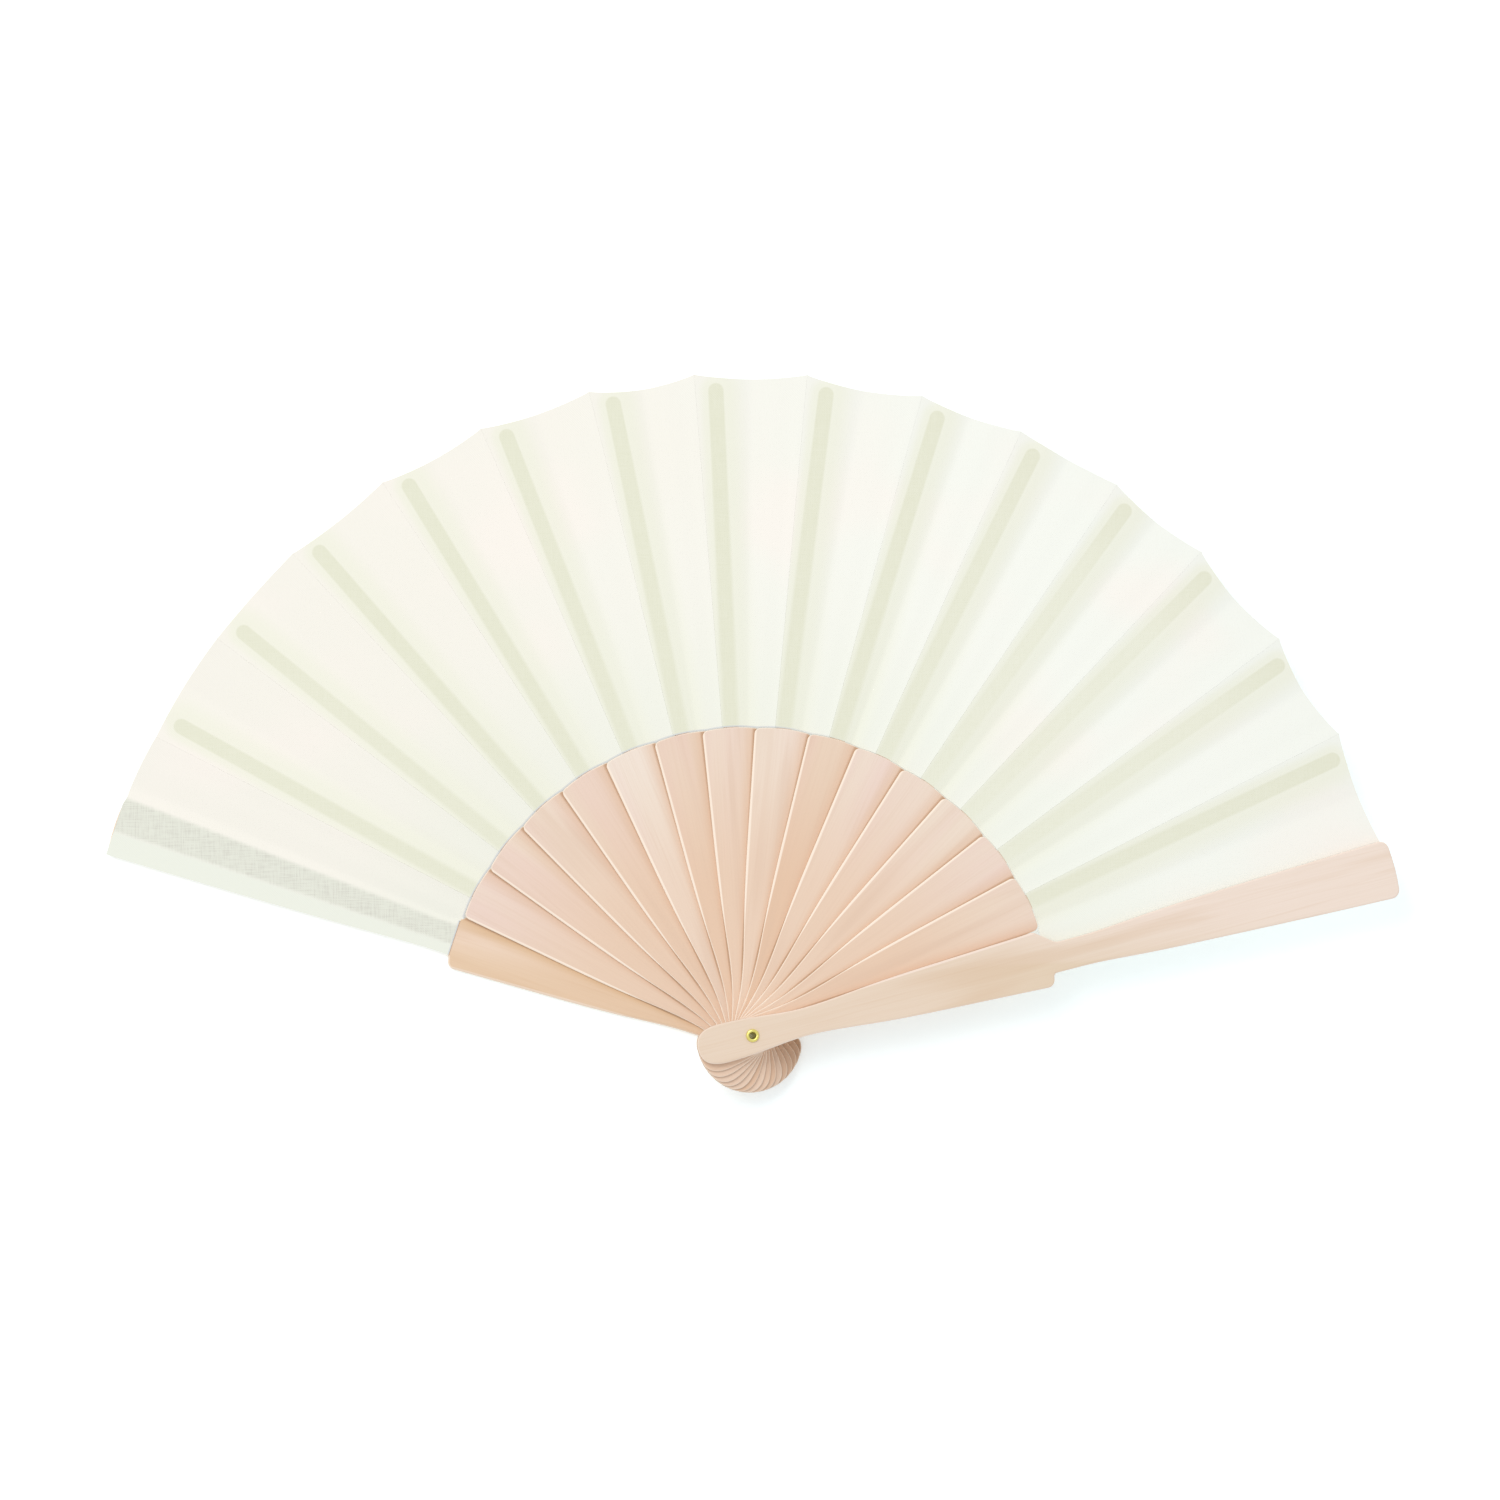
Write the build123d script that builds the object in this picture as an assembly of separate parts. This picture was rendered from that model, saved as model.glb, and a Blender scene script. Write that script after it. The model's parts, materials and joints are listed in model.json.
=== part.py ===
from build123d import *
import os
from math import cos, radians, sin

# Pleated folding hand fan, lying open and flat on its rear guard, in millimetres and degrees.
# Origin: on the rivet's axis, at the underside of the rear guard.
# +Z up through the stack of sticks, +Y from the rivet towards the leaf, +X to the right.
# Each stick is drawn pointing along +X, then turned about +Z to its place in the open fan.

os.makedirs("parts", exist_ok=True)

# ---- Spread of the open fan -------------------------------------------------------------
REAR_GUARD_ANGLE = 161.7        # direction of the rear guard, anticlockwise from +X
# Angle from each stick to the next, from the rear guard to the front guard. The leaf is
# opened by hand, so its pleats are not all stretched to the same width.
GAPS = [9.8, 10.0, 9.8, 9.9, 9.7, 9.9, 9.2, 9.8, 10.1, 9.1, 9.5, 9.3, 10.1, 9.7, 11.1]

# ---- Thicknesses and play through the stack ---------------------------------------------
GUARD_THICKNESS = 2.6
RIB_THICKNESS = 1.0             # of a rib's wide lower part
SLIP_THICKNESS = 0.55           # of the thin strip of a rib that is glued behind the leaf
CLOTH_THICKNESS = 0.25          # leaf with its glue
CLOTH_PLAY = 0.2                # free height over the cloth glued under the front guard
STICK_PLAY = 0.08               # running gap between one stick and the next

# ---- Lower part of every stick, from the rivet hole at (0, 0) -----------------------------
HEAD_REACH = 18.0               # rivet to the round end
CHEEK_AT = -9.5                 # where the round end is widest
CHEEK_HALF = 6.35
WAIST_AT = 15.0
WAIST_HALF = 4.5
BELLY = [(0.30, 6.15), (0.66, 7.95)]    # (share of the way from waist to shoulder, half-width)
SHOULDER_AT = 97.9
SHOULDER_HALF = 9.25
SHOULDER_CROWN = 0.9            # how far the shoulder's end bulges outwards
RIB_SHOULDER_RADIUS = 1.9
GUARD_SHOULDER_RADIUS = 2.5

# ---- Slip of a rib ------------------------------------------------------------------------
SLIP_WIDTH = 4.9
SLIP_SHORT = 3.6                # the slip's round tip stops this far inside the leaf's edge
SLIP_CANT = 0.8                 # the slip leans clockwise from the rib's own line

# ---- Blade of a guard, beyond its shoulder --------------------------------------------------
NECK_HALF = 4.4                 # from the middle line to the neck's edge on the leaf side
NECK_OUTER_HALF = 5.2           # and to its edge on the other side
NECK_RUN = 10.1                 # shoulder to where the neck starts to widen
SLANT_RUN = 3.8                 # shoulder to where the leaf side's slant reaches the neck
SLANT_SETBACK = 2.4             # the leaf side's slant starts this far before the shoulder
# (share of the way from neck to tip, distance from the middle line) on either side
BLADE = [(0.20, 5.65), (0.37, 6.8), (0.59, 7.8), (0.82, 8.75)]
OUTER_BLADE = [(0.20, 6.3), (0.37, 7.15), (0.59, 8.05), (0.82, 8.9)]
TIP_OVERRUN = 0.1               # the tip's corners reach this far past the leaf's edge
TIP_HALF = 9.45
TIP_CROWN = 0.7
TIP_RADIUS = 2.9
STEP_RADIUS = 1.2               # hollow corner between shoulder and neck
SLANT_RADIUS = 3.0              # hollow corner between slant and neck

# ---- Edges ----------------------------------------------------------------------------------
RIB_EDGE_RADIUS = 0.4
GUARD_EDGE_RADIUS = 0.6

# ---- Hollow rivet ----------------------------------------------------------------------------
SHANK_RADIUS = 1.5
RIVET_BORE_RADIUS = 1.0
HOLE_CLEARANCE = 0.05           # between shank and stick, all round
RIVET_HEAD_RADIUS = 3.0
RIVET_HEAD_THICKNESS = 0.6
HEAD_POCKET_CLEARANCE = 0.1     # round the rivet's head in the rear guard
RIM_RADIUS = 2.08
RIM_LAND = 0.2                  # straight outer height of the rolled rim
RIM_PLAY = 0.06                 # between the rolled rim and the front guard

# ---- Leaf ------------------------------------------------------------------------------------
LEAF_REACH = 212.5              # rivet to the leaf's outer edge, at a raised fold
VALLEY_DIP = 3.3                # the outer edge comes in this far at a lowered fold
LEAF_GAP = 0.6                  # from the sticks' shoulders to the leaf's inner edge
RIDGE_LEAD = 1.3                # each raised fold lies this far anticlockwise of its stick
HEM_LEAD = 2.2                  # the leaf's two ends, from the middle line of their guards
FOLD_CLEARANCE = 0.12           # degrees between a free fold and the next stick's panel

# ---- Worked out from the above ------------------------------------------------------------------
LEAF_INNER = SHOULDER_AT + SHOULDER_CROWN + LEAF_GAP
VALLEY_REACH = LEAF_REACH - VALLEY_DIP
SLIP_REACH = LEAF_REACH - SLIP_SHORT
TIP_AT = LEAF_REACH + TIP_OVERRUN
NECK_TO = SHOULDER_AT + NECK_RUN
PITCH = RIB_THICKNESS + STICK_PLAY
RELIEF = CLOTH_THICKNESS + CLOTH_PLAY       # a guard's blade is this much thinner than its foot
HOLE_RADIUS = SHANK_RADIUS + HOLE_CLEARANCE
RIB_COUNT = len(GAPS) - 1
ANGLES = [REAR_GUARD_ANGLE - sum(GAPS[:i]) for i in range(len(GAPS) + 1)]
FRONT = len(GAPS)                           # index of the front guard
FIRST_RIB_Z = GUARD_THICKNESS + STICK_PLAY
FRONT_GUARD_Z = FIRST_RIB_Z + RIB_COUNT * PITCH
STACK_TOP = FRONT_GUARD_Z + GUARD_THICKNESS


def base_z(index):
    """Underside of stick number index: 0 is the rear guard, FRONT the front guard."""
    if index == 0:
        return 0.0
    return FIRST_RIB_Z + (index - 1) * PITCH


def flipped(points):
    """The same points on the other side of the stick's middle line."""
    return [(u, -v) for u, v in points]


def stations(shares, start, end):
    """Outline points from (share of the way from start to end, half-width) pairs."""
    return [(start + share * (end - start), half) for share, half in shares]


def foot_side(shoulder):
    """Side of the wide lower part: round end, cheek, waist and belly, up to the shoulder."""
    butt = (-HEAD_REACH, 0)
    cheek = (CHEEK_AT, CHEEK_HALF)
    belly = stations(BELLY, WAIST_AT, SHOULDER_AT)
    taper = (shoulder[1] - belly[-1][1]) / (shoulder[0] - belly[-1][0])
    round_end = Spline([butt, cheek], tangents=[(0, 1), (1, 0)])
    flank = Spline([cheek, (WAIST_AT, WAIST_HALF), *belly, shoulder], tangents=[(1, 0), (1, taper)])
    return round_end, flank


def rib_outline():
    """Foot of a rib: two equal sides closed by a slightly bulging end."""
    shoulder = (SHOULDER_AT, SHOULDER_HALF)
    sides = foot_side(shoulder)
    end = ThreePointArc(shoulder, (SHOULDER_AT + SHOULDER_CROWN, 0), (SHOULDER_AT, -SHOULDER_HALF))
    edges = [*sides, end, *[side.mirror(Plane.XZ) for side in sides]]
    face = make_face(edges)
    corners = [v for v in face.vertices() if v.X > SHOULDER_AT - 1]
    return fillet(corners, RIB_SHOULDER_RADIUS)


def guard_outline():
    """A guard whose leaf lies on its +Y side: square step on -Y, slanted step on +Y."""
    outer_shoulder = (SHOULDER_AT, SHOULDER_HALF)
    step = (SHOULDER_AT + SHOULDER_CROWN, -NECK_OUTER_HALF)
    tip = (TIP_AT, TIP_HALF)
    slant_start = (SHOULDER_AT - SLANT_SETBACK, SHOULDER_HALF)
    slant_end = (SHOULDER_AT + SLANT_RUN, NECK_HALF)
    blade = [(NECK_TO, NECK_HALF), *stations(BLADE, NECK_TO, TIP_AT), tip]
    back = [(NECK_TO, NECK_OUTER_HALF), *stations(OUTER_BLADE, NECK_TO, TIP_AT), tip]
    flare = (blade[-1][1] - blade[-2][1]) / (blade[-1][0] - blade[-2][0])
    back_flare = (back[-1][1] - back[-2][1]) / (back[-1][0] - back[-2][0])
    outer = [side.mirror(Plane.XZ) for side in foot_side(outer_shoulder)]
    inner = list(foot_side(slant_start))
    outer_blade = Spline(flipped(back), tangents=[(1, 0), (1, -back_flare)])
    inner_blade = Spline(blade, tangents=[(1, 0), (1, flare)])
    edges = [
        *outer,
        Line((SHOULDER_AT, -SHOULDER_HALF), step),
        Line(step, (NECK_TO, -NECK_OUTER_HALF)),
        outer_blade,
        ThreePointArc((TIP_AT, -TIP_HALF), (TIP_AT + TIP_CROWN, 0), tip),
        inner_blade,
        Line((NECK_TO, NECK_HALF), slant_end),
        Line(slant_end, slant_start),
        *inner,
    ]
    face = make_face(edges)
    rounded = [
        ((SHOULDER_AT, -SHOULDER_HALF), GUARD_SHOULDER_RADIUS),
        (step, STEP_RADIUS),
        ((TIP_AT, -TIP_HALF), TIP_RADIUS),
        (tip, TIP_RADIUS),
        (slant_end, SLANT_RADIUS),
        (slant_start, GUARD_SHOULDER_RADIUS),
    ]
    for (u, v), radius in rounded:
        corner = face.vertices().sort_by_distance((u, v, 0))[0]
        face = fillet(corner, radius)
    return face


def rivet_hole(height):
    """Cutter for the rivet's shank through a stick."""
    return Pos(0, 0, height / 2) * Cylinder(HOLE_RADIUS, height + 2)


def round_top(solid, radius):
    """Sanded edge all round the upper face of a stick's foot or guard."""
    top = solid.faces().sort_by(Axis.Z)[-1]
    return fillet(top.outer_wire().edges(), radius)


def rib():
    """One rib: the wide foot, with the thin slip standing out of its shoulder."""
    foot = round_top(extrude(rib_outline(), RIB_THICKNESS), RIB_EDGE_RADIUS)
    half = SLIP_WIDTH / 2
    root = SHOULDER_AT - SHOULDER_HALF
    length = SLIP_REACH - SHOULDER_AT
    slip_face = Rectangle(length - half + SHOULDER_HALF, SLIP_WIDTH, align=(Align.MIN, Align.CENTER))
    slip_face = Pos(root - SHOULDER_AT, 0) * slip_face + Pos(length - half, 0) * Circle(half)
    slip = Pos(SHOULDER_AT, 0) * Rot(0, 0, -SLIP_CANT) * extrude(slip_face, SLIP_THICKNESS)
    return foot + slip - rivet_hole(RIB_THICKNESS)


def guard(leaf_on_top):
    """
    A guard with its leaf side on +Y. Beyond the shoulder the blade is thinned by RELIEF on
    the face that the leaf is glued to: the top of the rear guard, the underside of the front.
    """
    plate = extrude(guard_outline(), GUARD_THICKNESS)
    plate = round_top(plate, GUARD_EDGE_RADIUS)
    relief_from = SHOULDER_AT + SHOULDER_CROWN
    relief = Box(
        TIP_AT + 2 * TIP_HALF - relief_from, 4 * TIP_HALF, RELIEF,
        align=(Align.MIN, Align.CENTER, Align.MIN))
    z = GUARD_THICKNESS - RELIEF if leaf_on_top else 0.0
    plate = plate - Pos(relief_from, 0, z) * relief
    return plate - rivet_hole(GUARD_THICKNESS)


def rear_guard():
    """Bottom of the stack. Its underside has a pocket that takes the rivet's flat head."""
    pocket_radius = RIVET_HEAD_RADIUS + HEAD_POCKET_CLEARANCE
    pocket = Cylinder(
        pocket_radius, RIVET_HEAD_THICKNESS, align=(Align.CENTER, Align.CENTER, Align.MIN))
    return guard(leaf_on_top=True).mirror(Plane.XZ) - pocket


def rivet():
    """Hollow rivet: flat head, tube through all the sticks, and an end rolled into a rim."""
    rim_half = (RIM_RADIUS - RIVET_BORE_RADIUS) / 2
    rim_middle = RIVET_BORE_RADIUS + rim_half
    rim_foot = STACK_TOP + RIM_PLAY
    rim_spring = rim_foot + RIM_LAND
    profile = [
        Line((RIVET_BORE_RADIUS, 0), (RIVET_HEAD_RADIUS, 0)),
        Line((RIVET_HEAD_RADIUS, 0), (RIVET_HEAD_RADIUS, RIVET_HEAD_THICKNESS)),
        Line((RIVET_HEAD_RADIUS, RIVET_HEAD_THICKNESS), (SHANK_RADIUS, RIVET_HEAD_THICKNESS)),
        Line((SHANK_RADIUS, RIVET_HEAD_THICKNESS), (SHANK_RADIUS, rim_foot)),
        Line((SHANK_RADIUS, rim_foot), (RIM_RADIUS, rim_foot)),
        Line((RIM_RADIUS, rim_foot), (RIM_RADIUS, rim_spring)),
        ThreePointArc(
            (RIM_RADIUS, rim_spring), (rim_middle, rim_spring + rim_half),
            (RIVET_BORE_RADIUS, rim_spring)),
        Line((RIVET_BORE_RADIUS, rim_spring), (RIVET_BORE_RADIUS, 0)),
    ]
    half_section = Plane.XZ * make_face(profile)
    return revolve(half_section, Axis.Z, 360)


def on_circle(radius, angle, z):
    """Point at a radius and direction from the rivet's axis."""
    return (radius * cos(radians(angle)), radius * sin(radians(angle)), z)


def pleat(start, end):
    """
    Plate of cloth between two radial lines. Each line is (angle, outer reach, underside z),
    and the plate is ruled from one upright cut to the other.
    """
    cuts = []
    for angle, reach, z in (start, end):
        corners = [
            on_circle(LEAF_INNER, angle, z),
            on_circle(reach, angle, z),
            on_circle(reach, angle, z + CLOTH_THICKNESS),
            on_circle(LEAF_INNER, angle, z + CLOTH_THICKNESS),
        ]
        cuts.append(Wire.make_polygon([Vector(*corner) for corner in corners]))
    return Solid.make_loft(cuts, ruled=True)


def cloth_z(index):
    """Underside of the cloth that is glued to stick number index."""
    if index == 0:
        return GUARD_THICKNESS - RELIEF
    if index == FRONT:
        return base_z(index) + RELIEF - CLOTH_THICKNESS
    return base_z(index) + SLIP_THICKNESS


def ridge(index):
    """Direction of the raised fold at stick number index."""
    return ANGLES[index] + RIDGE_LEAD


def valley(index):
    """Direction of the lowered fold halfway from one raised fold to the next."""
    return (ridge(index) + ridge(index + 1)) / 2


def leaf_panel(index):
    """Flat panel of the leaf that is glued to stick number index."""
    z = cloth_z(index)
    start = (ridge(index), LEAF_REACH, z)
    if index == 0:
        start = (ANGLES[0] + HEM_LEAD, LEAF_REACH, z)
    if index == FRONT:
        return pleat(start, (ANGLES[FRONT] - HEM_LEAD, LEAF_REACH, z))
    return pleat(start, (valley(index), VALLEY_REACH, z))


def leaf_fold(index):
    """Free panel of the leaf, rising from one stick's panel to the next stick's raised fold."""
    start = (valley(index), VALLEY_REACH, cloth_z(index))
    end = (ridge(index + 1) + FOLD_CLEARANCE, LEAF_REACH, cloth_z(index + 1))
    return pleat(start, end)


def placed(stick, index):
    """A stick turned to its direction in the open fan and lifted to its layer."""
    return Pos(0, 0, base_z(index)) * Rot(0, 0, ANGLES[index]) * stick


nodes = {
    "rear_guard": placed(rear_guard(), 0),
    "front_guard": placed(guard(leaf_on_top=False), FRONT),
    "rivet": rivet(),
}
one_rib = rib()
for number in range(1, FRONT):
    nodes[f"rib_{number:02d}"] = placed(one_rib, number)
for number in range(FRONT + 1):
    nodes[f"leaf_panel_{number:02d}"] = leaf_panel(number)
for number in range(FRONT):
    nodes[f"leaf_fold_{number:02d}"] = leaf_fold(number)

for name, shape in nodes.items():
    export_step(shape, f"parts/{name}.step")
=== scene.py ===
import json
import math

import bpy
import numpy as np
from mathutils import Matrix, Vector


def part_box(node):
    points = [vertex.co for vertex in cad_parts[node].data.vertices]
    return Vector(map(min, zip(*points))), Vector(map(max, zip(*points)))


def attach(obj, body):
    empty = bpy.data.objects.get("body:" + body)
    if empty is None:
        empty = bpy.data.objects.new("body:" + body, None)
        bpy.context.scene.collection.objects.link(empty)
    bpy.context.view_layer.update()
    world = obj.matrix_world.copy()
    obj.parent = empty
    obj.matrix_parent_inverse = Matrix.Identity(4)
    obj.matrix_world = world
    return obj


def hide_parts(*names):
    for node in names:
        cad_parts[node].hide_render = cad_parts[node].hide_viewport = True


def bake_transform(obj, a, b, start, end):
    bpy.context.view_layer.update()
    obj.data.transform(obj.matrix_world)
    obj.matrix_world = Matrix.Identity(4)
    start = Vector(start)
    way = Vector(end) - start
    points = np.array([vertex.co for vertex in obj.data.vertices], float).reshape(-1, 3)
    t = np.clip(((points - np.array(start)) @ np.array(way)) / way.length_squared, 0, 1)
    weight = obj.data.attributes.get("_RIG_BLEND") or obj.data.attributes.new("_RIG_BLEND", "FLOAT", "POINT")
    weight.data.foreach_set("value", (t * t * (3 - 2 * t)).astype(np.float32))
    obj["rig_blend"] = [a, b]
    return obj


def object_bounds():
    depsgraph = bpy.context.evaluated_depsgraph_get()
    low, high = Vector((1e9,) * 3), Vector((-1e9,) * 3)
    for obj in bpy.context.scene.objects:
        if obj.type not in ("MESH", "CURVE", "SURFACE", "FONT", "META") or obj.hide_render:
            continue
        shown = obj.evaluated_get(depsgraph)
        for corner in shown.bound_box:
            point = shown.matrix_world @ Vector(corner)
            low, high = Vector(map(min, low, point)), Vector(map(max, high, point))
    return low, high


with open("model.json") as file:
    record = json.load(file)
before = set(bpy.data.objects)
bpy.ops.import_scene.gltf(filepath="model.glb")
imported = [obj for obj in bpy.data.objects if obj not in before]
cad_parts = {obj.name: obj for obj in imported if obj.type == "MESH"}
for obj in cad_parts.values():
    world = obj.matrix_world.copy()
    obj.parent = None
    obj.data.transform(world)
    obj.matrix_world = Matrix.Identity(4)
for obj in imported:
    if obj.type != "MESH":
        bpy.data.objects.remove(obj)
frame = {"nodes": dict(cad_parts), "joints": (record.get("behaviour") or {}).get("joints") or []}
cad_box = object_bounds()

# ---------------------------------------------------------------------------------------------
# The table, the light and the camera. The fan lies on a plain white light table in an even white
# room. One large soft lamp at the upper left makes the pleats that face left the brighter ones.
# The camera stands high above, a little to the fan's left and lower side.
# ---------------------------------------------------------------------------------------------
MM = 0.001
VIEW_WIDTH = 478.4 * MM         # what the frame takes in, at the height of the stack's top
VIEW_CENTRE = (-0.9 * MM, 91.1 * MM)
CAMERA_HEIGHT = 12.0
CAMERA_LEAN = (-0.10, -0.03)    # the camera's way to the right and up, over its height
TABLE_SIZE = 8.0
TABLE_DROP = 0.1 * MM           # keeps the table from touching the rear guard's face
LAMP_PLACE = (-0.8, 0.9, 1.8)
LAMP_SIZE = 1.1
LAMP_POWER = 15

scene = bpy.context.scene
scene.view_settings.view_transform = "Standard"


def linear(red, green, blue):
    """Linear colour with alpha from 0-255 display values: ((c + 0.055) / 1.055) ** 2.4."""
    display = np.array([red, green, blue]) / 255
    light = np.where(display <= 0.04045, display / 12.92, ((display + 0.055) / 1.055) ** 2.4)
    return (*light.tolist(), 1.0)


def material(name):
    """A new node material: returns it with its node tree and its Principled shader."""
    made = bpy.data.materials.new(name)
    made.use_nodes = True
    return made, made.node_tree, made.node_tree.nodes["Principled BSDF"]


camera_data = bpy.data.cameras.new("camera")
camera_data.sensor_width = 36.0     # in mm, the plain full frame
camera_distance = CAMERA_HEIGHT * math.hypot(1, *CAMERA_LEAN)
camera_data.lens = camera_data.sensor_width * camera_distance / VIEW_WIDTH
camera_data.clip_end = 100.0
camera = bpy.data.objects.new("camera", camera_data)
stack_top = cad_box[1][2]
sideways, upwards = CAMERA_LEAN
camera.location = (
    VIEW_CENTRE[0] + sideways * CAMERA_HEIGHT,
    VIEW_CENTRE[1] + upwards * CAMERA_HEIGHT,
    stack_top + CAMERA_HEIGHT)
camera.rotation_euler = (-math.atan2(upwards, math.hypot(1, sideways)), math.atan(sideways), 0)
scene.collection.objects.link(camera)
scene.camera = camera

table_mesh = bpy.data.meshes.new("floor")
half = TABLE_SIZE / 2
table_corners = ((-half, -half), (half, -half), (half, half), (-half, half))
table_mesh.from_pydata([(x, y, -TABLE_DROP) for x, y in table_corners], [], [(0, 1, 2, 3)])
table = bpy.data.objects.new("floor", table_mesh)
scene.collection.objects.link(table)
table_white, _, table_shader = material("floor_white")
table_shader.inputs["Base Color"].default_value = (0.86, 0.93, 0.94, 1)
table_shader.inputs["Roughness"].default_value = 0.7
table_shader.inputs["Specular IOR Level"].default_value = 0.2
table_shader.inputs["Emission Color"].default_value = (0.96, 0.985, 1, 1)
table_shader.inputs["Emission Strength"].default_value = 0.29
table_mesh.materials.append(table_white)

room = bpy.data.worlds.new("room")
room.use_nodes = True
room_light = room.node_tree.nodes["Background"]
room_light.inputs["Color"].default_value = (0.97, 0.985, 1.0, 1)
room_light.inputs["Strength"].default_value = 0.79
scene.world = room

lamp_data = bpy.data.lights.new("key_lamp", "AREA")
lamp_data.size = LAMP_SIZE
lamp_data.energy = LAMP_POWER
lamp_data.color = (1.0, 0.99, 0.975)
lamp = bpy.data.objects.new("key_lamp", lamp_data)
lamp.location = LAMP_PLACE
aim = Vector((*VIEW_CENTRE, 0)) - Vector(LAMP_PLACE)
lamp.rotation_euler = aim.to_track_quat("-Z", "Y").to_euler()
scene.collection.objects.link(lamp)

# ---------------------------------------------------------------------------------------------
# The guards: the two thick end sticks of pale, unvarnished birch, cut with the grain along the
# stick and sanded on the faces, with a painted highlight along the rounded edges.
# They are the CAD nodes themselves; each stick gets its own cut of the same wood.
# ---------------------------------------------------------------------------------------------
REAR_DIRECTION = 161.7          # of the rear guard, in degrees anticlockwise from +X
GAPS = [joint["range_deg"][1] for joint in frame["joints"]]
DIRECTIONS = [REAR_DIRECTION - sum(GAPS[:i]) for i in range(len(GAPS) + 1)]
BODIES = ["rear_guard", *[f"rib_{i:02d}" for i in range(1, len(GAPS))], "front_guard"]
last = len(GAPS)                # the front guard's number; the rear guard is number 0
FOOT_START = 15 * MM            # the foot's taper, measured along the stick from the rivet
FOOT_END = 98 * MM
FOOT_HALF = (4.6 * MM, 9.3 * MM)    # half-width at those two places
DEEP_FADE = (45 * MM, 105 * MM)     # the wood's deeper tone fades out between these
HEAD_FADE = (-4 * MM, 6 * MM)   # and the painted shade on the heads between these
SHADE_REACH = 0.06             # widths of the painted shade beside the next stick's edge, over the distance along
DARK_SHADE_REACH = 0.011
FIRST_CUT, NEXT_CUT = 3.0, 3.7  # where each stick's cut of the wood lies in the pattern


def new_group(name, inputs, outputs):
    """An empty shader group; inputs and outputs are (name, socket kind) pairs."""
    group = bpy.data.node_groups.new(name, "ShaderNodeTree")
    for direction, sockets in (("INPUT", inputs), ("OUTPUT", outputs)):
        for socket_name, kind in sockets:
            group.interface.new_socket(socket_name, in_out=direction, socket_type=kind)
    entry = group.nodes.new("NodeGroupInput")
    leave = group.nodes.new("NodeGroupOutput")
    return group, entry, leave


def math_node(tree, operation, *values):
    """A Math node; each value is a number or an output socket. Returns its output."""
    node = tree.nodes.new("ShaderNodeMath")
    node.operation = operation
    for socket, value in zip(node.inputs, values):
        if isinstance(value, bpy.types.NodeSocket):
            tree.links.new(value, socket)
        else:
            socket.default_value = value
    return node.outputs[0]


def blend_colours(tree, share, first, second):
    """Mix of two colours, each a colour or an output socket. Returns the colour output."""
    node = tree.nodes.new("ShaderNodeMix")
    node.data_type = "RGBA"
    for socket, value in ((node.inputs[0], share), (node.inputs[6], first), (node.inputs[7], second)):
        if isinstance(value, bpy.types.NodeSocket):
            tree.links.new(value, socket)
        else:
            socket.default_value = value
    return node.outputs[2]


def smooth_step(tree, value, low, high):
    """0 below low, 1 above high, and a smooth turn between them."""
    node = tree.nodes.new("ShaderNodeMapRange")
    node.interpolation_type = "SMOOTHSTEP"
    tree.links.new(value, node.inputs["Value"])
    for name, edge in (("From Min", low), ("From Max", high)):
        if isinstance(edge, bpy.types.NodeSocket):
            tree.links.new(edge, node.inputs[name])
        else:
            node.inputs[name].default_value = edge
    return node.outputs["Result"]


def stretched_noise(tree, vector, stretch, detail, seed=None):
    """Noise of a vector scaled axis by axis; seed is an output added to shift the pattern."""
    scaled = tree.nodes.new("ShaderNodeVectorMath")
    scaled.operation = "MULTIPLY"
    tree.links.new(vector, scaled.inputs[0])
    scaled.inputs[1].default_value = stretch
    noise = tree.nodes.new("ShaderNodeTexNoise")
    noise.noise_dimensions = "4D"
    noise.inputs["Scale"].default_value = 1.0
    noise.inputs["Detail"].default_value = detail
    tree.links.new(scaled.outputs[0], noise.inputs["Vector"])
    if seed is not None:
        tree.links.new(seed, noise.inputs["W"])
    return noise.outputs["Fac"]


def stick_half(tree, along):
    """Half-width of a stick's foot at a distance along it, in metres: an even taper."""
    taper = tree.nodes.new("ShaderNodeMapRange")
    taper.clamp = False
    for name, value in (("From Min", FOOT_START), ("From Max", FOOT_END),
                        ("To Min", FOOT_HALF[0]), ("To Max", FOOT_HALF[1])):
        taper.inputs[name].default_value = value
    tree.links.new(along, taper.inputs["Value"])
    return taper.outputs["Result"]


def stick_side(tree, place):
    """(distance along, distance past the left edge over it) of a place seen from a stick."""
    parts = tree.nodes.new("ShaderNodeSeparateXYZ")
    tree.links.new(place, parts.inputs[0])
    along = parts.outputs["X"]
    past = math_node(tree, "SUBTRACT", parts.outputs["Y"], stick_half(tree, along))
    return along, math_node(tree, "DIVIDE", past, math_node(tree, "MAXIMUM", along, 5 * MM))


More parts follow.
